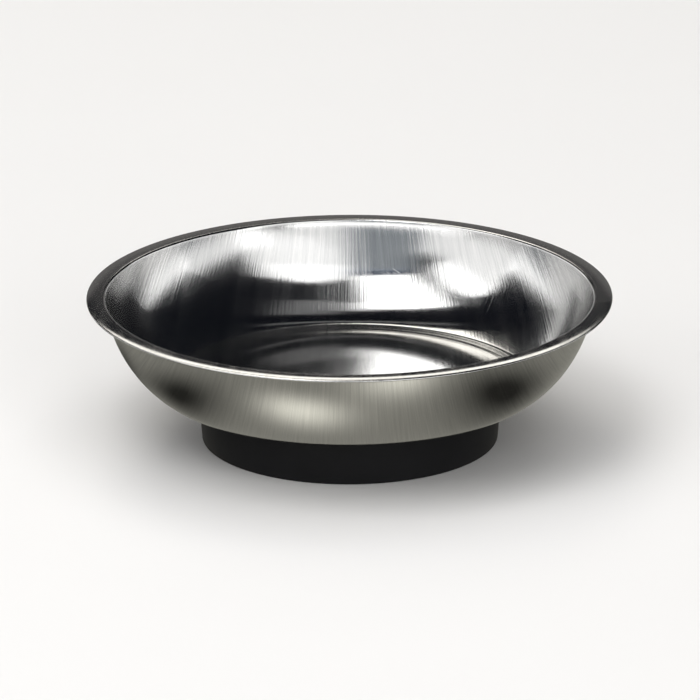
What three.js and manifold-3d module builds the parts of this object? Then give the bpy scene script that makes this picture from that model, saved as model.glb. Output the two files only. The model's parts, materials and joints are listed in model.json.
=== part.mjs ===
// A magnetic pin dish: a pressed stainless bowl on a rubber-covered ring magnet.
// Millimetres, +Z up. The origin is the centre of the foot's underside. Z is the axis of every round piece.
import * as THREE from "three";
import { mergeVertices } from "three/addons/utils/BufferGeometryUtils.js";
import Module from "manifold-3d";

// Overall size of the dish
const RIM_RADIUS = 54;
const RIM_HEIGHT = 30.52;
const SHEET = 0.4;

// Clearance between pieces that touch on the real object
const GAP = 0.3;

// The bowl's pressed shape, on the underside of the sheet
const FLOOR_RADIUS = 36.9;
const FILLET_RADIUS = 4;
const WALL_FOOT_SLOPE = 24;
const WALL_FOOT_PULL = 2.8;
const WALL_TOP_RADIUS = 50.5;
const WALL_TOP_LEAN = 10;
const WALL_TOP_PULL = 12.8;
const BEND_RADIUS = 0.1;
const FLANGE_SLOPE = 3;

// The rubber boot that forms the foot
const BOOT_BOTTOM_RADIUS = 30.5;
const BOOT_TOP_RADIUS = 31.2;
const BOOT_EDGE_RADIUS = 0.5;
const BOOT_FLOOR = 1.6;
const BOOT_LIP = 0.8;
const BOOT_LIP_RADIUS = 27.2;
const BOOT_HOLE_RADIUS = 5.2;
const GRIP_GROOVE_RADII = [12, 18, 24];
const GRIP_GROOVE_WIDTH = 1.2;
const GRIP_GROOVE_DEPTH = 0.4;

// The magnet and its two steel plates
const PLATE_RADIUS = 28.3;
const LOWER_PLATE_SHEET = 1;
const UPPER_PLATE_SHEET = 0.8;
const MAGNET_RADIUS = 28;
const MAGNET_BORE_RADIUS = 11;
const MAGNET_THICKNESS = 5;
const WELL_RADIUS = 6.4;
const WELL_RISE = 4.2;
const GASKET_RADIUS = 26.9;
const GASKET_BORE_RADIUS = 5;
const GASKET_THICKNESS = 0.8;
const EDGE_CHAMFER = 0.2;

// M4 fasteners
const STUD_RADIUS = 2;
const STUD_HEAD_RADIUS = 4;
const STUD_END_HEIGHT = 0.9;
const STUD_CHAMFER = 0.4;
const STUD_HOLE_RADIUS = STUD_RADIUS + GAP;
const WASHER_RADIUS = 4.5;
const WASHER_THICKNESS = 0.8;
const LOCK_WASHER_RADIUS = 3.8;
const LOCK_WASHER_THICKNESS = 0.9;
const LOCK_WASHER_SLOT = 14;
const NUT_ACROSS_FLATS = 7;
const NUT_THICKNESS = 2.2;
const NUT_CHAMFER_ANGLE = 30;

// Heights of the stack, from the ground up
const LOWER_PLATE_Z = BOOT_FLOOR + GAP;
const MAGNET_Z = LOWER_PLATE_Z + LOWER_PLATE_SHEET + GAP;
const UPPER_PLATE_Z = MAGNET_Z + MAGNET_THICKNESS + GAP;
const GASKET_Z = UPPER_PLATE_Z + UPPER_PLATE_SHEET + GAP;
const DISC_Z = GASKET_Z + GASKET_THICKNESS + GAP;
const BOOT_HEIGHT = GASKET_Z + BOOT_LIP;
const BOOT_CAVITY_RADIUS = PLATE_RADIUS + GAP;
const WELL_ROOF_Z = LOWER_PLATE_Z + WELL_RISE;
const WASHER_Z = WELL_ROOF_Z - GAP - WASHER_THICKNESS;
const LOCK_WASHER_Z = WASHER_Z - GAP - LOCK_WASHER_THICKNESS;
const NUT_Z = LOCK_WASHER_Z - GAP - NUT_THICKNESS;

// Steps round a full circle, and along a curve of a profile
const LARGE_ROUND = 56;
const SMALL_ROUND = 36;
const FILLET_STEPS = 3;
const WALL_STEPS = 12;
const BEND_STEPS = 4;
const LIP_STEPS = 3;

const STAINLESS = { color: 0xc3c6c9, roughness: 0.2, metalness: 1 };
const ZINC_STEEL = { color: 0xb4b8ba, roughness: 0.38, metalness: 1 };
const FERRITE = { color: 0x2c2c2f, roughness: 0.62, metalness: 0.1 };
const RUBBER = { color: 0x16161a, roughness: 0.6, metalness: 0 };
const NYLON = { color: 0xe4e0d4, roughness: 0.5, metalness: 0 };
const RED_FIBRE = { color: 0x5a2a1c, roughness: 0.8, metalness: 0 };

const radians = THREE.MathUtils.degToRad;

// A point of a profile: its distance from the axis, and its height.
function at(radius, height) {
  return new THREE.Vector2(radius, height);
}

// A point at a distance from another, in a direction given in degrees above the outward radius.
function away(from, distance, degrees) {
  const angle = radians(degrees);
  return at(from.x + distance * Math.cos(angle), from.y + distance * Math.sin(angle));
}

// A body turned about Z. Its profile runs anticlockwise, so that its faces point out.
function turned(profile, steps) {
  return new THREE.LatheGeometry(profile, steps).rotateX(Math.PI / 2);
}

// A flat ring that stands on z = 0, with its corners chamfered.
function ring(bore, radius, thickness) {
  return turned(
    [
      at(bore + EDGE_CHAMFER, 0),
      at(radius - EDGE_CHAMFER, 0),
      at(radius, EDGE_CHAMFER),
      at(radius, thickness - EDGE_CHAMFER),
      at(radius - EDGE_CHAMFER, thickness),
      at(bore + EDGE_CHAMFER, thickness),
      at(bore, thickness - EDGE_CHAMFER),
      at(bore, EDGE_CHAMFER),
      at(bore + EDGE_CHAMFER, 0),
    ],
    SMALL_ROUND,
  );
}

// The upward or outward normal of a profile's segment.
function segmentNormal(a, b) {
  return at(a.y - b.y, b.x - a.x).normalize();
}

// A profile moved sideways by the thickness of the sheet, with its corners mitred.
function offset(profile, distance) {
  return profile.map((p, i) => {
    const before = segmentNormal(profile[Math.max(i - 1, 0)], profile[Math.max(i, 1)]);
    const last = profile.length - 1;
    const after = segmentNormal(profile[Math.min(i, last - 1)], profile[Math.min(i + 1, last)]);
    const normal = before.clone().add(after).normalize();
    return p.clone().addScaledVector(normal, distance / normal.dot(before));
  });
}

// The underside of the sheet, from the axis out: a flat floor, a fillet round it, the wall, the tight bend
// at its top and the flange, which slopes down a little to its edge.
function dishUnderside() {
  const fillet = new THREE.ArcCurve(
    FLOOR_RADIUS,
    DISC_Z + FILLET_RADIUS,
    FILLET_RADIUS,
    radians(-90),
    radians(WALL_FOOT_SLOPE - 90),
    false,
  );
  const wallFoot = fillet.getPoint(1);
  const bendHeight = RIM_HEIGHT - SHEET - BEND_RADIUS;
  const wallTop = at(WALL_TOP_RADIUS, bendHeight + BEND_RADIUS * Math.sin(radians(WALL_TOP_LEAN)));
  const wall = new THREE.CubicBezierCurve(
    wallFoot,
    away(wallFoot, WALL_FOOT_PULL, WALL_FOOT_SLOPE),
    away(wallTop, -WALL_TOP_PULL, 90 - WALL_TOP_LEAN),
    wallTop,
  );
  const bendCentre = away(wallTop, BEND_RADIUS, -WALL_TOP_LEAN);
  const bend = new THREE.ArcCurve(
    bendCentre.x,
    bendCentre.y,
    BEND_RADIUS,
    radians(180 - WALL_TOP_LEAN),
    radians(90 - FLANGE_SLOPE),
    true,
  );
  const bendEnd = bend.getPoint(1);
  const edgeRadius = RIM_RADIUS - (SHEET / 2) * (1 + Math.sin(radians(FLANGE_SLOPE)));
  const edgeDrop = (edgeRadius - bendEnd.x) * Math.tan(radians(FLANGE_SLOPE));
  return [
    at(0, DISC_Z),
    ...fillet.getPoints(FILLET_STEPS),
    ...wall.getPoints(WALL_STEPS).slice(1),
    ...bend.getPoints(BEND_STEPS).slice(1),
    at(edgeRadius, bendEnd.y - edgeDrop),
  ];
}

// The whole sheet: its underside, the rounded edge of the flange, and its top side back to the axis.
function dish() {
  const underside = dishUnderside();
  const topside = offset(underside, SHEET);
  topside[0].x = 0;
  const edgeCentre = underside.at(-1).clone().add(topside.at(-1)).multiplyScalar(0.5);
  const edge = new THREE.ArcCurve(
    edgeCentre.x,
    edgeCentre.y,
    SHEET / 2,
    radians(-90 - FLANGE_SLOPE),
    radians(90 - FLANGE_SLOPE),
    false,
  );
  const rounded = edge.getPoints(LIP_STEPS).slice(1, -1);
  return turned([...underside, ...rounded, ...topside.reverse()], LARGE_ROUND);
}

// The soft cup that holds the magnet, with a lip over it, a hole for the nut and grip grooves underneath.
function rubberBoot() {
  const grooves = GRIP_GROOVE_RADII.flatMap((radius) => [
    at(radius - GRIP_GROOVE_WIDTH / 2, 0),
    at(radius - GRIP_GROOVE_WIDTH / 2, GRIP_GROOVE_DEPTH),
    at(radius + GRIP_GROOVE_WIDTH / 2, GRIP_GROOVE_DEPTH),
    at(radius + GRIP_GROOVE_WIDTH / 2, 0),
  ]);
  return turned(
    [
      at(BOOT_HOLE_RADIUS, 0),
      ...grooves,
      at(BOOT_BOTTOM_RADIUS - BOOT_EDGE_RADIUS, 0),
      at(BOOT_BOTTOM_RADIUS, BOOT_EDGE_RADIUS),
      at(BOOT_TOP_RADIUS, BOOT_HEIGHT - BOOT_EDGE_RADIUS),
      at(BOOT_TOP_RADIUS - BOOT_EDGE_RADIUS, BOOT_HEIGHT),
      at(BOOT_LIP_RADIUS, BOOT_HEIGHT),
      at(BOOT_LIP_RADIUS, GASKET_Z),
      at(BOOT_CAVITY_RADIUS, GASKET_Z),
      at(BOOT_CAVITY_RADIUS, BOOT_FLOOR),
      at(BOOT_HOLE_RADIUS, BOOT_FLOOR),
      at(BOOT_HOLE_RADIUS, 0),
    ],
    LARGE_ROUND,
  );
}

// A pressed plate with a well in the middle, which goes up into the magnet and takes the nut.
function lowerPlate() {
  const wellInside = WELL_RADIUS - LOWER_PLATE_SHEET;
  const roofTop = WELL_RISE + LOWER_PLATE_SHEET;
  return turned(
    [
      at(wellInside, 0),
      at(PLATE_RADIUS - EDGE_CHAMFER, 0),
      at(PLATE_RADIUS, EDGE_CHAMFER),
      at(PLATE_RADIUS, LOWER_PLATE_SHEET),
      at(WELL_RADIUS, LOWER_PLATE_SHEET),
      at(WELL_RADIUS, roofTop - LOWER_PLATE_SHEET / 2),
      at(WELL_RADIUS - LOWER_PLATE_SHEET / 2, roofTop),
      at(STUD_HOLE_RADIUS, roofTop),
      at(STUD_HOLE_RADIUS, WELL_RISE),
      at(wellInside, WELL_RISE),
      at(wellInside, 0),
    ],
    SMALL_ROUND,
  );
}

// A moulded sleeve between the well and the magnet's bore. Its top web carries the clamping load.
function centringBush() {
  const sleeveRadius = MAGNET_BORE_RADIUS - GAP;
  const boreRadius = WELL_RADIUS + GAP;
  const height = MAGNET_THICKNESS;
  const webUnderside = WELL_ROOF_Z + LOWER_PLATE_SHEET + GAP - MAGNET_Z;
  return turned(
    [
      at(boreRadius, 0),
      at(sleeveRadius, 0),
      at(sleeveRadius, height - EDGE_CHAMFER),
      at(sleeveRadius - EDGE_CHAMFER, height),
      at(STUD_HOLE_RADIUS, height),
      at(STUD_HOLE_RADIUS, webUnderside),
      at(boreRadius, webUnderside),
      at(boreRadius, 0),
    ],
    SMALL_ROUND,
  );
}

// A headed stud, head up, which is projection-welded to the bowl by the head.
function weldStud() {
  const headTop = DISC_Z - GAP;
  return turned(
    [
      at(0, STUD_END_HEIGHT),
      at(STUD_RADIUS - STUD_CHAMFER, STUD_END_HEIGHT),
      at(STUD_RADIUS, STUD_END_HEIGHT + STUD_CHAMFER),
      at(STUD_RADIUS, GASKET_Z),
      at(STUD_HEAD_RADIUS, GASKET_Z),
      at(STUD_HEAD_RADIUS, headTop),
      at(0, headTop),
    ],
    SMALL_ROUND,
  );
}

// A spring washer, pressed flat, with its slot.
function lockWasher() {
  const halfSlot = radians(LOCK_WASHER_SLOT / 2);
  const outline = new THREE.Shape();
  outline.absarc(0, 0, LOCK_WASHER_RADIUS, halfSlot, 2 * Math.PI - halfSlot, false);
  outline.absarc(0, 0, STUD_HOLE_RADIUS, 2 * Math.PI - halfSlot, halfSlot, true);
  return new THREE.ExtrudeGeometry(outline, {
    depth: LOCK_WASHER_THICKNESS,
    bevelEnabled: false,
    curveSegments: SMALL_ROUND / 2,
  });
}

const manifold = await Module();
manifold.setup();

// A closed geometry as a manifold-3d solid, with only its positions left and shared vertices merged.
function solid(geometry) {
  const plain = geometry.clone();
  plain.deleteAttribute("normal");
  plain.deleteAttribute("uv");
  const merged = mergeVertices(plain);
  return new manifold.Manifold(
    new manifold.Mesh({
      numProp: 3,
      vertProperties: new Float32Array(merged.attributes.position.array),
      triVerts: new Uint32Array(merged.index.array),
    }),
  );
}

// The geometry of a manifold-3d solid.
function geometryOf(body) {
  const mesh = body.getMesh();
  const geometry = new THREE.BufferGeometry();
  geometry.setAttribute("position", new THREE.BufferAttribute(new Float32Array(mesh.vertProperties), 3));
  geometry.setIndex(new THREE.BufferAttribute(new Uint32Array(mesh.triVerts), 1));
  geometry.computeVertexNormals();
  return geometry;
}

// A thin hexagon nut: a prism with a hole, cut by a disc whose edges are chamfered on both sides.
function jamNut() {
  const cornerRadius = NUT_ACROSS_FLATS / 2 / Math.cos(Math.PI / 6);
  const corners = [0, 1, 2, 3, 4, 5].map((i) => away(at(0, 0), cornerRadius, 60 * i));
  const outline = new THREE.Shape(corners);
  outline.holes.push(new THREE.Path().absarc(0, 0, STUD_HOLE_RADIUS, 0, 2 * Math.PI, true));
  const prism = new THREE.ExtrudeGeometry(outline, {
    depth: NUT_THICKNESS,
    bevelEnabled: false,
    curveSegments: SMALL_ROUND / 2,
  });
  const flatRadius = NUT_ACROSS_FLATS / 2;
  const reach = cornerRadius + GAP;
  const chamferHeight = (reach - flatRadius) * Math.tan(radians(NUT_CHAMFER_ANGLE));
  const chamfered = turned(
    [
      at(0, 0),
      at(flatRadius, 0),
      at(reach, chamferHeight),
      at(reach, NUT_THICKNESS - chamferHeight),
      at(flatRadius, NUT_THICKNESS),
      at(0, NUT_THICKNESS),
    ],
    SMALL_ROUND,
  );
  return geometryOf(solid(prism).intersect(solid(chamfered)));
}

// A named mesh whose geometry stands at a height on the axis.
function piece(name, geometry, material, height = 0) {
  const mesh = new THREE.Mesh(geometry, new THREE.MeshStandardMaterial(material));
  mesh.name = name;
  mesh.position.z = height;
  return mesh;
}

// The magnet between its plates, with the sleeve in its bore and the gasket under the bowl.
function magnetPack() {
  const magnet = ring(MAGNET_BORE_RADIUS, MAGNET_RADIUS, MAGNET_THICKNESS);
  const upperPlate = ring(STUD_HOLE_RADIUS, PLATE_RADIUS, UPPER_PLATE_SHEET);
  const gasket = ring(GASKET_BORE_RADIUS, GASKET_RADIUS, GASKET_THICKNESS);
  const pack = new THREE.Group();
  pack.add(
    piece("lower_plate", lowerPlate(), ZINC_STEEL, LOWER_PLATE_Z),
    piece("ring_magnet", magnet, FERRITE, MAGNET_Z),
    piece("centring_bush", centringBush(), NYLON, MAGNET_Z),
    piece("upper_plate", upperPlate, ZINC_STEEL, UPPER_PLATE_Z),
    piece("fibre_gasket", gasket, RED_FIBRE, GASKET_Z),
  );
  return pack;
}

// The stud and what is screwed onto it from below.
function fasteners() {
  const set = new THREE.Group();
  set.add(
    piece("weld_stud", weldStud(), ZINC_STEEL),
    piece("flat_washer", ring(STUD_HOLE_RADIUS, WASHER_RADIUS, WASHER_THICKNESS), ZINC_STEEL, WASHER_Z),
    piece("lock_washer", lockWasher(), ZINC_STEEL, LOCK_WASHER_Z),
    piece("jam_nut", jamNut(), ZINC_STEEL, NUT_Z),
  );
  return set;
}

const pinDish = new THREE.Group();
pinDish.add(
  piece("dish", dish(), STAINLESS),
  piece("rubber_boot", rubberBoot(), RUBBER),
  magnetPack(),
  fasteners(),
);

export default pinDish;
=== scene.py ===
"""The looks of a magnetic pin dish: a pressed, straight-grained stainless bowl on a rubber foot.

Everything is in metres in the CAD frame: +Z up, origin at the centre of the foot's underside.
"""

import json
import math

import bpy
from mathutils import Matrix, Vector


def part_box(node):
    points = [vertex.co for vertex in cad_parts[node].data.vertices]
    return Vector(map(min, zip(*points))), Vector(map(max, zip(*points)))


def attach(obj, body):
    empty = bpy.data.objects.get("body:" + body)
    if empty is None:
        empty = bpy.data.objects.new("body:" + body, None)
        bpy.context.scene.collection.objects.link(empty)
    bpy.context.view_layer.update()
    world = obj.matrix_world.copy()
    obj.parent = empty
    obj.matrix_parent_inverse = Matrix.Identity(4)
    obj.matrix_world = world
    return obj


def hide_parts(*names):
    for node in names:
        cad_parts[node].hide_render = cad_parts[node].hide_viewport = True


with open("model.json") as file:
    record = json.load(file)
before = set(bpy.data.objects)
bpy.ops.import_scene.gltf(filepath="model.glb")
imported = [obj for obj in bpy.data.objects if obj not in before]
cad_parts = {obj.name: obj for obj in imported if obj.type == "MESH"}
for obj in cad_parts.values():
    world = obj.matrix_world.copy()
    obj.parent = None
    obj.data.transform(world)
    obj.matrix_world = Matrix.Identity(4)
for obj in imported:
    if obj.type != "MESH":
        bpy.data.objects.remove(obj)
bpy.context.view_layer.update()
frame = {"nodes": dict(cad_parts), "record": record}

MM = 0.001

# Driving sizes, from the CAD model
DISH_LOW, DISH_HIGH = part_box("dish")
BOOT_LOW, BOOT_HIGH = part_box("rubber_boot")
RIM_HEIGHT = DISH_HIGH.z
SHEET = 0.4 * MM

# Steps round the axis
DISH_STEPS = 360
BOOT_STEPS = 192

# Steps along the stretches of the dish's section
DISC_STEPS = 40
RING_STEPS = 85
FILLET_STEPS = 14
WALL_STEPS = 84
BEND_STEPS = 10
FLANGE_STEPS = 36
EDGE_STEPS = 12


# ---------------------------------------------------------------- profiles

def polar(centre, radius, degrees):
    """The point at a distance from another, in a direction above the outward radius."""
    angle = math.radians(degrees)
    return (centre[0] + radius * math.cos(angle), centre[1] + radius * math.sin(angle))


def arc(centre, radius, start, end, steps):
    """Points along an arc of a profile, both ends included."""
    return [polar(centre, radius, start + (end - start) * i / steps) for i in range(steps + 1)]


def line(a, b, steps):
    """Points along a straight stretch of a profile, without its first point."""
    return [(a[0] + (b[0] - a[0]) * i / steps, a[1] + (b[1] - a[1]) * i / steps)
            for i in range(1, steps + 1)]


def bezier(p0, p1, p2, p3, steps):
    """Points along a cubic curve of a profile, both ends included."""
    made = []
    for i in range(steps + 1):
        t = i / steps
        s = 1 - t
        made.append(tuple(s**3 * a + 3 * s * s * t * b + 3 * s * t * t * c + t**3 * d
                          for a, b, c, d in zip(p0, p1, p2, p3)))
    return made


def offset(profile, distance):
    """The profile moved to its left by a distance."""
    made = []
    for i, p in enumerate(profile):
        a = profile[max(i - 1, 0)]
        b = profile[min(i + 1, len(profile) - 1)]
        length = math.hypot(b[0] - a[0], b[1] - a[1])
        made.append((p[0] - (b[1] - a[1]) / length * distance, p[1] + (b[0] - a[0]) / length * distance))
    return made


# ---------------------------------------------------------------- the bowl

# Fine rings pressed into the floor: the radius, width and height of the rising side,
# and the width of the falling side
RINGS = [
    (33.0 * MM, 0.2 * MM, 0.004 * MM, 0.3 * MM),
    (34.9 * MM, 0.2 * MM, 0.011 * MM, 0.25 * MM),
]
# The step up to the level of the wall's foot: radius, width and height
LAST_RING = (36.3 * MM, 0.3 * MM, 0.03 * MM)

# Slopes and leans are in degrees. A pull is how far a curve's handle reaches from its end
FOOT_GAP = 0.3 * MM
FLOOR_LEVEL = BOOT_HIGH.z + FOOT_GAP + LAST_RING[2]
RING_ZONE_START = 32 * MM
FILLET_START = 36.9 * MM
FILLET_RADIUS = 4 * MM
WALL_FOOT_SLOPE = 24
WALL_FOOT_HANDLE_SLOPE = 26
WALL_FOOT_PULL = 2.8 * MM
BEND_RISE = 0.07 * MM
WALL_TOP = (50.5 * MM, RIM_HEIGHT - SHEET - BEND_RISE)
WALL_TOP_LEAN = 10
WALL_TOP_PULL = 12.8 * MM
BEND_RADIUS = 0.08 * MM
FLANGE_HANDLE_RADIUS = 52.3 * MM
LIP_SLOPE = 10
LIP_PULL = 0.7 * MM
LIP_RADIUS = 53.82 * MM
LIP_DROP = 0.16 * MM


def smooth(value, low, high):
    """0 below low, 1 above high, and a smooth step between them."""
    t = min(max((value - low) / (high - low), 0), 1)
    return t * t * (3 - 2 * t)


def relief(r):
    """How far the sheet at a radius stands from its section without the rings."""
    radius, width, height = LAST_RING
    z = height * (smooth(r, radius - width / 2, radius + width / 2) - 1)
    for radius, width, height, fall in RINGS:
        crest = radius + width / 2
        z += height * (smooth(r, radius - width / 2, crest) - smooth(r, crest, crest + fall))
    return z


def dish_underside():
    """The sheet's underside from the axis out, without the rings: floor, fillet and wall."""
    points = [(0, FLOOR_LEVEL)]
    points += line(points[-1], (RING_ZONE_START, FLOOR_LEVEL), DISC_STEPS)
    points += line(points[-1], (FILLET_START, FLOOR_LEVEL), RING_STEPS)
    fillet_centre = (FILLET_START, FLOOR_LEVEL + FILLET_RADIUS)
    points += arc(fillet_centre, FILLET_RADIUS, -90, WALL_FOOT_SLOPE - 90, FILLET_STEPS)[1:]
    foot = points[-1]
    foot_handle = polar(foot, WALL_FOOT_PULL, WALL_FOOT_HANDLE_SLOPE)
    top_handle = polar(WALL_TOP, -WALL_TOP_PULL, 90 - WALL_TOP_LEAN)
    points += bezier(foot, foot_handle, top_handle, WALL_TOP, WALL_STEPS)[1:]
    return points


def flange_top(start):
    """The flange's upper side, flat beside the bend and rolled down towards its edge."""
    end = (LIP_RADIUS, RIM_HEIGHT - LIP_DROP)
    handle = (FLANGE_HANDLE_RADIUS, RIM_HEIGHT)
    return bezier(start, handle, polar(end, -LIP_PULL, -LIP_SLOPE), end, FLANGE_STEPS)


def dish_profile():
    """The sheet's outline, from the axis along the underside, round the lip and back along the top."""
    under = dish_underside()
    top = offset(under, SHEET)
    top[0] = (0, top[0][1])
    bend_centre = polar(WALL_TOP, BEND_RADIUS, -WALL_TOP_LEAN)
    under += arc(bend_centre, BEND_RADIUS, 180 - WALL_TOP_LEAN, 90, BEND_STEPS)[1:]
    top += arc(bend_centre, BEND_RADIUS + SHEET, 180 - WALL_TOP_LEAN, 90, BEND_STEPS)[1:]
    flange = flange_top((bend_centre[0], bend_centre[1] + BEND_RADIUS + SHEET))
    under += offset(flange, -SHEET)[1:]
    top += flange[1:]
    centre = tuple((a + b) / 2 for a, b in zip(under[-1], top[-1]))
    edge = arc(centre, SHEET / 2, -90 - LIP_SLOPE, 90 - LIP_SLOPE, EDGE_STEPS)[1:-1]
    under = [(r, z + relief(r)) for r, z in under]
    top = [(r, z + relief(r)) for r, z in top]
    return under + edge + top[::-1]


def blank_radii(profile):
    """How far from the centre each point lay on the flat blank, if pressing keeps the sheet's area."""
    half = len(profile) // 2
    out = [0.0]
    for (ra, za), (rb, zb) in zip(profile[:half], profile[1:half + 1]):
        out.append(out[-1] + (ra + rb) * math.hypot(rb - ra, zb - za))
    radii = [math.sqrt(a) for a in out[:half]]
    back = radii[::-1]
    middle = len(profile) - 2 * half
    return radii + [radii[-1]] * middle + back


def lathe(name, profile, steps, closed=False, blank=None):
    """A smooth mesh turned about Z. blank gives each profile point's radius on the flat sheet."""
    mesh = bpy.data.meshes.new(name)
    verts, rows = [], []
    for r, z in profile:
        if r == 0:
            rows.append([len(verts)] * steps)
            verts.append((0, 0, z))
            continue
        rows.append(list(range(len(verts), len(verts) + steps)))
        verts += [(r * math.cos(2 * math.pi * k / steps), r * math.sin(2 * math.pi * k / steps), z)
                  for k in range(steps)]
    faces = []
    pairs = list(zip(rows, rows[1:]))
    if closed:
        pairs.append((rows[-1], rows[0]))
    for low, high in pairs:
        for k in range(steps):
            n = (k + 1) % steps
            corners = [low[k], low[n], high[n], high[k]]
            unique = list(dict.fromkeys(corners))
            if len(unique) > 2:
                faces.append(unique)
    mesh.from_pydata(verts, [], faces)
    mesh.validate()
    mesh.shade_smooth()
    if blank:
        share = {}
        for (r, _), row, b in zip(profile, rows, blank):
            for v in set(row):
                share[v] = b / r if r else 0
        grain = mesh.uv_layers.new(name="grain")
        for loop in mesh.loops:
            v = mesh.vertices[loop.vertex_index].co
            k = share[loop.vertex_index]
            grain.data[loop.index].uv = (v.x * k, v.y * k)
    piece = bpy.data.objects.new(name, mesh)
    bpy.context.scene.collection.objects.link(piece)
    return piece


# ---------------------------------------------------------------- materials

DISH_PROFILE = dish_profile()
DISH_BLANK = blank_radii(DISH_PROFILE)
# Where the bend begins on the blank, and how far past it the inside's finish fades out
BLANK_BEND = DISH_BLANK[len(dish_underside())]
FINISH_FADE = 0.5 * MM


class Nodes:
    """A short way to write a material's node tree."""

    def __init__(self, name):
        self.material = bpy.data.materials.new(name)
        self.material.use_nodes = True
        self.tree = self.material.node_tree
        self.shader = self.tree.nodes["Principled BSDF"]

    def add(self, kind, inputs=None, **settings):
        node = self.tree.nodes.new("ShaderNode" + kind)
        for key, value in settings.items():
            setattr(node, key, value)
        for key, value in (inputs or {}).items():
            self.put(node.inputs[key], value)
        return node

    def put(self, socket, value):
        if isinstance(value, bpy.types.NodeSocket):
            self.tree.links.new(value, socket)
        else:
            socket.default_value = value

    def math(self, operation, a, b=0.0, c=0.0):
        return self.add("Math", {0: a, 1: b, 2: c}, operation=operation).outputs[0]

    def noise(self, vector, scale=1.0, detail=2.0, roughness=0.5):
        return self.add("TexNoise", {"Vector": vector, "Scale": scale, "Detail": detail,
                                     "Roughness": roughness}).outputs["Fac"]

    def stretched(self, vector, size):
        """The coordinates divided by a size, so that a noise of scale 1 has that size along each axis."""
        return self.add("VectorMath", {0: vector, 1: tuple(1 / s for s in size)},
                        operation="MULTIPLY").outputs[0]

    def ramp(self, value, low, high, out_low=0.0, out_high=1.0):
        return self.add("MapRange", {"Value": value, "From Min": low, "From Max": high,
                                     "To Min": out_low, "To Max": out_high}).outputs["Result"]

    def mix(self, factor, a, b):
        node = self.add("Mix", data_type="RGBA")
        self.put(node.inputs["Factor"], factor)
        self.put(node.inputs[6], a)
        self.put(node.inputs[7], b)
        return node.outputs[2]

    def bump(self, height, distance, normal=None):
        node = self.add("Bump", {"Height": height, "Distance": distance, "Strength": 1.0})
        if normal:
            self.put(node.inputs["Normal"], normal)
        return node.outputs["Normal"]


def scratch(n, place, angle, shift):
    """Sparse short scratches that run at an angle to the grain."""
    turned = n.add("VectorRotate", {"Vector": place, "Angle": angle}, rotation_type="Z_AXIS").outputs[0]
    moved = n.add("VectorMath", {0: turned, 1: (shift, 0, 0)}, operation="ADD").outputs[0]
    marks = n.noise(n.stretched(moved, (0.11 * MM, 14 * MM, 1)), detail=1)
    return n.ramp(marks, 0.69, 0.76)


def stainless():
    """Bright stainless sheet with the mill's straight grain, which the pressing has spread up the wall."""
    n = Nodes("stainless")
    blank = n.add("UVMap", uv_map="grain").outputs["UV"]
    fine = n.noise(n.stretched(blank, (0.14 * MM, 9 * MM, 1)), detail=3, roughness=0.6)
    streak = n.noise(n.stretched(blank, (0.52 * MM, 22 * MM, 1)), detail=2, roughness=0.6)
    band = n.noise(n.stretched(blank, (4 * MM, 60 * MM, 1)), detail=2)
    height = n.math("ADD", n.math("MULTIPLY", streak, 0.000026), n.math("MULTIPLY", fine, 0.0000012))
    normal = n.add("NewGeometry").outputs["Normal"]
    facing = n.add("SeparateXYZ", {0: normal}).outputs["Z"]
    radius = n.add("VectorMath", {0: blank}, operation="LENGTH").outputs["Value"]
    within = n.ramp(radius, BLANK_BEND, BLANK_BEND + FINISH_FADE, 1.0, 0.0)
    inside = n.math("MULTIPLY", n.ramp(facing, 0, 0.05), within)
    height = n.math("MULTIPLY", height, n.ramp(inside, 0, 1, 0.13, 1.0))
    worn = n.ramp(n.noise(n.stretched(blank, (9 * MM, 9 * MM, 1)), detail=2), 0.5, 0.62)
    scratches = n.math("MAXIMUM", scratch(n, blank, 0.7, 0.0), scratch(n, blank, -0.9, 40 * MM))
    scratches = n.math("MULTIPLY", n.math("MULTIPLY", scratches, worn), inside)
    height = n.math("MULTIPLY_ADD", scratches, 0.000003, height)
    n.put(n.shader.inputs["Normal"], n.bump(height, 1.0))
    place = n.add("TexCoord").outputs["Object"]
    cloud = n.noise(place, scale=60, detail=4)
    rough = n.math("ADD", n.ramp(streak, 0.3, 0.7, 0.13, 0.155), n.ramp(band, 0.3, 0.7, -0.02, 0.03))
    rough = n.math("ADD", rough, n.ramp(cloud, 0.35, 0.7, -0.01, 0.02))
    n.put(n.shader.inputs["Roughness"], n.math("MULTIPLY_ADD", scratches, 0.08, rough))
    tone = n.ramp(n.math("ADD", fine, streak), 0.7, 1.3)
    n.put(n.shader.inputs["Base Color"], n.mix(tone, (0.56, 0.56, 0.555, 1), (0.68, 0.675, 0.665, 1)))
    n.shader.inputs["Metallic"].default_value = 1
    n.shader.inputs["Anisotropic"].default_value = 0.87
    tangent = n.add("Tangent", direction_type="UV_MAP", uv_map="grain").outputs[0]
    n.put(n.shader.inputs["Tangent"], tangent)
    return n.material


def rubber():
    """Satin black moulded rubber, a little mottled, with a fine tooth."""
    n = Nodes("rubber")
    place = n.add("TexCoord").outputs["Object"]
    mottle = n.noise(place, scale=90, detail=5)
    tooth = n.noise(place, scale=4200, detail=2)
    n.put(n.shader.inputs["Base Color"], n.mix(mottle, (0.005, 0.005, 0.006, 1), (0.01, 0.01, 0.011, 1)))
    n.shader.inputs["Specular IOR Level"].default_value = 0.12
    n.put(n.shader.inputs["Roughness"], n.ramp(mottle, 0.3, 0.7, 0.42, 0.56))
    n.put(n.shader.inputs["Normal"], n.bump(n.math("MULTIPLY", tooth, 0.000012), 1.0))
    return n.material


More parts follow.
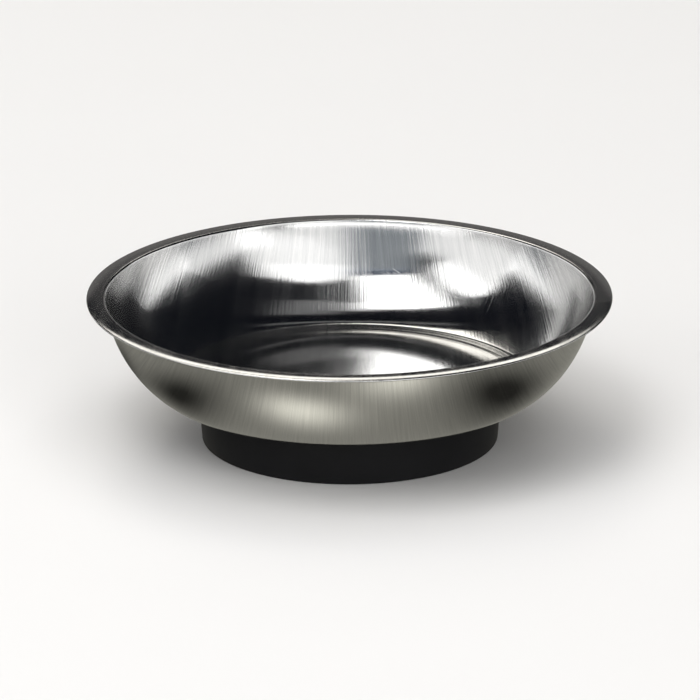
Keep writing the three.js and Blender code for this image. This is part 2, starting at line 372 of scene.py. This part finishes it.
def plating():
    """Bright zinc plating over turned or pressed steel."""
    n = Nodes("zinc_steel")
    place = n.add("TexCoord").outputs["Object"]
    cloud = n.noise(place, scale=260, detail=4)
    grit = n.noise(place, scale=5200, detail=2)
    n.put(n.shader.inputs["Base Color"], n.mix(cloud, (0.46, 0.48, 0.5, 1), (0.62, 0.62, 0.6, 1)))
    n.put(n.shader.inputs["Roughness"], n.ramp(cloud, 0.3, 0.7, 0.28, 0.42))
    n.put(n.shader.inputs["Normal"], n.bump(n.math("MULTIPLY", grit, 0.000006), 1.0))
    n.shader.inputs["Metallic"].default_value = 1
    return n.material


def ferrite():
    """Ground dark ferrite, with faint grinding marks and a dusty bloom."""
    n = Nodes("ferrite")
    place = n.add("TexCoord").outputs["Object"]
    marks = n.noise(n.stretched(place, (0.3 * MM, 8 * MM, 1 * MM)), detail=3)
    bloom = n.noise(place, scale=150, detail=5)
    n.put(n.shader.inputs["Base Color"], n.mix(bloom, (0.022, 0.022, 0.025, 1), (0.055, 0.054, 0.053, 1)))
    n.put(n.shader.inputs["Roughness"], n.ramp(marks, 0.3, 0.7, 0.5, 0.72))
    n.put(n.shader.inputs["Normal"], n.bump(n.math("MULTIPLY", marks, 0.00001), 1.0))
    return n.material


def nylon():
    """Natural nylon, slightly uneven in colour, as moulded."""
    n = Nodes("nylon")
    place = n.add("TexCoord").outputs["Object"]
    flow = n.noise(place, scale=220, detail=4)
    n.put(n.shader.inputs["Base Color"], n.mix(flow, (0.62, 0.58, 0.48, 1), (0.74, 0.71, 0.62, 1)))
    n.put(n.shader.inputs["Roughness"], n.ramp(flow, 0.3, 0.7, 0.38, 0.5))
    n.put(n.shader.inputs["Normal"], n.bump(n.math("MULTIPLY", flow, 0.00002), 1.0))
    return n.material


def red_fibre():
    """Vulcanised fibre, with its fibres showing."""
    n = Nodes("red_fibre")
    place = n.add("TexCoord").outputs["Object"]
    fibres = n.noise(n.stretched(place, (0.2 * MM, 2 * MM, 1 * MM)), detail=5, roughness=0.7)
    n.put(n.shader.inputs["Base Color"], n.mix(fibres, (0.13, 0.035, 0.02, 1), (0.26, 0.08, 0.045, 1)))
    n.put(n.shader.inputs["Roughness"], n.ramp(fibres, 0.3, 0.7, 0.7, 0.9))
    n.put(n.shader.inputs["Normal"], n.bump(n.math("MULTIPLY", fibres, 0.00003), 1.0))
    return n.material


MATERIALS = {
    "stainless": stainless(),
    "rubber": rubber(),
    "zinc_steel": plating(),
    "ferrite": ferrite(),
    "nylon": nylon(),
    "red_fibre": red_fibre(),
}


def finish_cad_nodes():
    """Each CAD node that stays visible takes the material of its slot in the record."""
    for part in frame["record"]["subparts"]:
        node = frame["nodes"][part["node"]]
        node.data.materials.clear()
        node.data.materials.append(MATERIALS[part["material_slot"]])


def stand_for(piece, node, slot):
    """The piece takes the place of a CAD node of the same body and finish."""
    piece.data.materials.append(MATERIALS[slot])
    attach(piece, "root")
    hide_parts(node)


# ---------------------------------------------------------------- the foot

BOOT_RADIUS = BOOT_HIGH.x
BOOT_BASE_RADIUS = 30.5 * MM
BOOT_EDGE = 0.35 * MM
BOOT_LIP_RADIUS = 27.2 * MM
BOOT_LIP_Z = BOOT_HIGH.z - 0.8 * MM
BOOT_CAVITY_RADIUS = 28.6 * MM
BOOT_FLOOR = 1.6 * MM
BOOT_HOLE_RADIUS = 5.2 * MM
GRIP_GROOVES = [12 * MM, 18 * MM, 24 * MM]
GRIP_WIDTH = 1.2 * MM
GRIP_DEPTH = 0.4 * MM


def grip_groove(radius):
    """A rounded groove in the foot's underside."""
    half = GRIP_WIDTH / 2
    lip = 0.12 * MM
    return (arc((radius - half, lip), lip, -90, 0, 4)
            + arc((radius - half + 2 * lip, GRIP_DEPTH - lip), lip, 180, 90, 4)
            + arc((radius + half - 2 * lip, GRIP_DEPTH - lip), lip, 90, 0, 4)
            + arc((radius + half, lip), lip, 180, 270, 4))


def boot_profile():
    """The boot's section, anticlockwise from the edge of its centre hole."""
    edge = BOOT_EDGE
    soft = 0.15 * MM
    points = arc((BOOT_HOLE_RADIUS + soft, soft), soft, 180, 270, 4)
    for radius in GRIP_GROOVES:
        groove = grip_groove(radius)
        points += line(points[-1], groove[0], 3)[:-1] + groove
    points += line(points[-1], (BOOT_BASE_RADIUS - edge, 0), 3)[:-1]
    points += arc((BOOT_BASE_RADIUS - edge, edge), edge, -90, 0, 8)
    points += line(points[-1], (BOOT_RADIUS, BOOT_HIGH.z - edge), 12)[:-1]
    points += arc((BOOT_RADIUS - edge, BOOT_HIGH.z - edge), edge, 0, 90, 6)
    points += line(points[-1], (BOOT_LIP_RADIUS + soft, BOOT_HIGH.z), 3)[:-1]
    points += arc((BOOT_LIP_RADIUS + soft, BOOT_HIGH.z - soft), soft, 90, 180, 4)
    points += [(BOOT_LIP_RADIUS, BOOT_LIP_Z), (BOOT_CAVITY_RADIUS, BOOT_LIP_Z)]
    points += line(points[-1], (BOOT_CAVITY_RADIUS, BOOT_FLOOR), 3)
    points += line(points[-1], (BOOT_HOLE_RADIUS + soft, BOOT_FLOOR), 6)[:-1]
    points += arc((BOOT_HOLE_RADIUS + soft, BOOT_FLOOR - soft), soft, 90, 180, 4)
    return points


# ---------------------------------------------------------------- the studio

CAMERA_ELEVATION = 18.915
CAMERA_DISTANCE = 1.752
CAMERA_LENS = 437.8
CAMERA_ROLL = 0.23
AIM = Vector((0, 0, 15.275 * MM))
AIM_RAISE = 3.077 * MM
AIM_SIDE = 0.065 * MM

FLOOR_RADIUS = 4.0
TABLE_RADIUS = 1.5
DISC_SIDES = 64
# How far the floor and the reflected table lie under the foot, so that no faces coincide
FLOOR_DEPTH = 0.05 * MM
TABLE_DEPTH = 0.5 * MM


def camera():
    """A long lens that looks down on the dish from the front."""
    data = bpy.data.cameras.new("camera")
    data.lens = CAMERA_LENS
    data.sensor_width = 36
    data.clip_end = 50
    view = bpy.data.objects.new("camera", data)
    elevation = math.radians(CAMERA_ELEVATION)
    back = Vector((0, -math.cos(elevation), math.sin(elevation)))
    view.location = AIM + back * CAMERA_DISTANCE
    up = Vector((0, math.sin(elevation), math.cos(elevation)))
    target = AIM + up * AIM_RAISE + Vector((AIM_SIDE, 0, 0))
    turn = (target - view.location).to_track_quat("-Z", "Y")
    view.rotation_mode = "QUATERNION"
    view.rotation_quaternion = turn @ Matrix.Rotation(math.radians(-CAMERA_ROLL), 3, "Z").to_quaternion()
    bpy.context.scene.collection.objects.link(view)
    bpy.context.scene.camera = view


def panel(name, centre, across, up, width, height, radiance,
          tint=(1, 1, 1), reflected=True, shape="RECTANGLE"):
    """A softbox. across and up are the directions of its sides, and radiance is its brightness."""
    light = bpy.data.lights.new(name, "AREA")
    light.shape = shape
    light.size = width
    light.size_y = height
    area = width * height * (math.pi / 4 if shape == "ELLIPSE" else 1)
    light.energy = radiance * math.pi * area
    light.color = tint
    lamp = bpy.data.objects.new(name, light)
    x = Vector(across).normalized()
    y = Vector(up).normalized()
    z = x.cross(y)
    lamp.matrix_world = Matrix.Translation(centre) @ Matrix((x, y, z)).transposed().to_4x4()
    lamp.visible_camera = False
    lamp.visible_glossy = reflected
    bpy.context.scene.collection.objects.link(lamp)


def overhead(name, left, right, near, far, radiance, height=1.5, **more):
    """A panel that faces down. Its sides are slopes from the dish: metres across for each metre up."""
    centre = ((left + right) / 2 * height, (near + far) / 2 * height, height)
    wide = (right - left) * height
    deep = (far - near) * height
    panel(name, centre, (1, 0, 0), (0, 1, 0), wide, deep, radiance, **more)


def behind_camera(name, left, right, low, high, radiance, distance=1.8, **more):
    """A panel that faces the dish from the camera's side, given as slopes from the dish."""
    centre = ((left + right) / 2 * distance, -distance, (low + high) / 2 * distance)
    wide = (right - left) * distance
    tall = (high - low) * distance
    panel(name, centre, (1, 0, 0), (0, 0, 1), wide, tall, radiance, **more)


def at_side(name, side, near, far, low, high, radiance, distance=1.6, **more):
    """A panel that faces the dish from the left (side -1) or the right (side 1), given as slopes."""
    centre = (side * distance, (near + far) / 2 * distance, (low + high) / 2 * distance)
    wide = (far - near) * distance
    tall = (high - low) * distance
    panel(name, centre, (0, side, 0), (0, 0, 1), wide, tall, radiance, **more)


def lights():
    """Softboxes overhead, at the sides, behind the camera and beyond the dish."""
    overhead("overhead_left", -0.66, -0.12, -1.0, -0.13, 3.6)
    overhead("overhead_zenith", -0.13, 0.0, -0.3, -0.09, 1.0)
    overhead("overhead_left_soft", -0.78, -0.66, -0.7, -0.13, 1.0)
    overhead("overhead_blue", -0.8, 0.1, -1.25, -1.0, 0.12, tint=(0.45, 0.62, 1))
    overhead("overhead_dim", 0.06, 0.42, -0.34, 0.0, 0.2)
    overhead("overhead_back", -0.5, -0.02, 0.45, 1.4, 2.6, tint=(1, 0.97, 0.9))
    overhead("overhead_back_low", -0.35, 0.3, 1.55, 2.25, 1.8, tint=(1, 0.97, 0.9))
    overhead("overhead_line", -0.5, 0.35, 0.25, 0.28, 0.4)
    behind_camera("front_right", 0.02, 0.95, 0.2, 1.26, 2.0, shape="ELLIPSE")
    behind_camera("front_right_wide", 0.02, 1.25, 0.2, 1.12, 1.2)
    behind_camera("front_right_low", 0.04, 1.3, 0.09, 0.7, 1.2)
    behind_camera("front_low", -1.7, 0.6, 0.0, 0.085, 3.2)
    behind_camera("front_low_soft", -0.7, 0.6, 0.085, 0.12, 0.9)
    behind_camera("front_gap", -0.7, 0.04, 0.06, 0.85, 0.34, tint=(0.84, 0.92, 1))
    at_side("left_near", -1, -1.4, -0.08, 0.06, 0.58, 1.3)
    at_side("left_near_high", -1, -0.95, -0.1, 0.42, 0.98, 2.6, shape="ELLIPSE")
    at_side("left_low", -1, -0.08, 1.5, 0.0, 0.25, 1.9)
    at_side("right_near", 1, -1.15, -0.1, 0.0, 0.31, 1.3)
    at_side("right_far", 1, -0.1, 0.7, 0.0, 0.25, 1.7)
    panel("far_wall", (0, 3, 0.5), (-1, 0, 0), (0, 0, 1), 3.4, 1.0, 0.15, tint=(1, 0.96, 0.92))
    panel("fill", (0, 0, 2.6), (1, 0, 0), (0, 1, 0), 3, 3, 1.7, reflected=False)


def room():
    """The background: pale where the camera sees it, and dark in reflections and as light."""
    world = bpy.data.worlds.new("room")
    world.use_nodes = True
    nodes = world.node_tree.nodes
    links = world.node_tree.links
    dark = nodes["Background"]
    dark.inputs["Color"].default_value = (0.006, 0.007, 0.01, 1)
    pale = nodes.new("ShaderNodeBackground")
    pale.inputs["Color"].default_value = (0.78, 0.78, 0.78, 1)
    seen = nodes.new("ShaderNodeLightPath")
    both = nodes.new("ShaderNodeMixShader")
    links.new(seen.outputs["Is Camera Ray"], both.inputs[0])
    links.new(dark.outputs[0], both.inputs[1])
    links.new(pale.outputs[0], both.inputs[2])
    links.new(both.outputs[0], nodes["World Output"].inputs["Surface"])
    bpy.context.scene.world = world


def disc(name, radius, z):
    """A flat round surface."""
    mesh = bpy.data.meshes.new(name)
    turns = [2 * math.pi * k / DISC_SIDES for k in range(DISC_SIDES)]
    rim = [(radius * math.cos(a), radius * math.sin(a), z) for a in turns]
    mesh.from_pydata(rim, [], [list(range(DISC_SIDES))])
    surface = bpy.data.objects.new(name, mesh)
    bpy.context.scene.collection.objects.link(surface)
    return surface


# Painted pools of light and painted shadows on the reflected table round the dish: centre, half width and
# depth, and brightness added
PAINTED_POOLS = [
    ((-16.5 * MM, -54 * MM), (10 * MM, 7 * MM), 0.8),
    ((25 * MM, -80 * MM), (14 * MM, 11 * MM), 0.75),
    ((-50 * MM, -20 * MM), (11 * MM, 17 * MM), -0.27),
    ((50 * MM, -30 * MM), (14 * MM, 20 * MM), -0.28),
    ((22 * MM, 62 * MM), (15 * MM, 10 * MM), 0.5),
    ((-34 * MM, 76 * MM), (17 * MM, 12 * MM), 0.45),
    ((-56 * MM, 34 * MM), (12 * MM, 18 * MM), -0.2),
]
# The table's even painted light, and the least brightness that the painted shadows leave
PAINTED_TABLE_GLOW = 0.28
TABLE_DARKEST = 0.02


def painted_reflected_table():
    """What the outside of the bowl reflects: a glowing table with painted pools of light and painted
    shadows, seen in reflections only.
    """
    surface = disc("painted_reflected_table", TABLE_RADIUS, -TABLE_DEPTH)
    surface.visible_camera = False
    surface.visible_diffuse = False
    surface.visible_transmission = False
    surface.visible_volume_scatter = False
    surface.visible_shadow = False
    n = Nodes("painted_reflected_table")
    place = n.add("TexCoord").outputs["Object"]
    total = PAINTED_TABLE_GLOW
    for (x, y), (wide, deep), bright in PAINTED_POOLS:
        off = n.add("VectorMath", {0: place, 1: (x, y, 0)}, operation="SUBTRACT").outputs[0]
        scaled = n.stretched(off, (wide, deep, 1))
        near = n.add("VectorMath", {0: scaled, 1: scaled}, operation="DOT_PRODUCT").outputs["Value"]
        pool = n.math("EXPONENT", n.math("MULTIPLY", near, -0.5))
        total = n.math("MULTIPLY_ADD", pool, bright, total)
    # The painted light and shadow are emission: the table glows though it is no lamp.
    strength = n.math("MAXIMUM", total, TABLE_DARKEST)
    glow = n.add("Emission", {"Color": (1, 0.98, 0.86, 1), "Strength": strength})
    output = n.tree.nodes["Material Output"]
    n.tree.links.new(glow.outputs[0], output.inputs["Surface"])
    surface.data.materials.append(n.material)


def floor():
    """A plain pale surface under the dish, which the steel doesn't reflect."""
    surface = disc("floor", FLOOR_RADIUS, -FLOOR_DEPTH)
    surface.visible_glossy = False
    surface.visible_shadow = False
    n = Nodes("floor")
    place = n.add("TexCoord").outputs["Object"]
    cloud = n.noise(place, scale=9, detail=3)
    n.put(n.shader.inputs["Base Color"], n.mix(cloud, (0.8, 0.79, 0.78, 1), (0.82, 0.81, 0.8, 1)))
    n.shader.inputs["Roughness"].default_value = 0.6
    n.shader.inputs["Specular IOR Level"].default_value = 0.2
    surface.data.materials.append(n.material)


# ---------------------------------------------------------------- the object

finish_cad_nodes()

dish = lathe("pressed_dish", DISH_PROFILE, DISH_STEPS, blank=DISH_BLANK)
stand_for(dish, "dish", "stainless")

boot = lathe("moulded_boot", boot_profile(), BOOT_STEPS, closed=True)
stand_for(boot, "rubber_boot", "rubber")

camera()
lights()
room()
floor()
painted_reflected_table()
bpy.context.scene.view_settings.view_transform = "Standard"
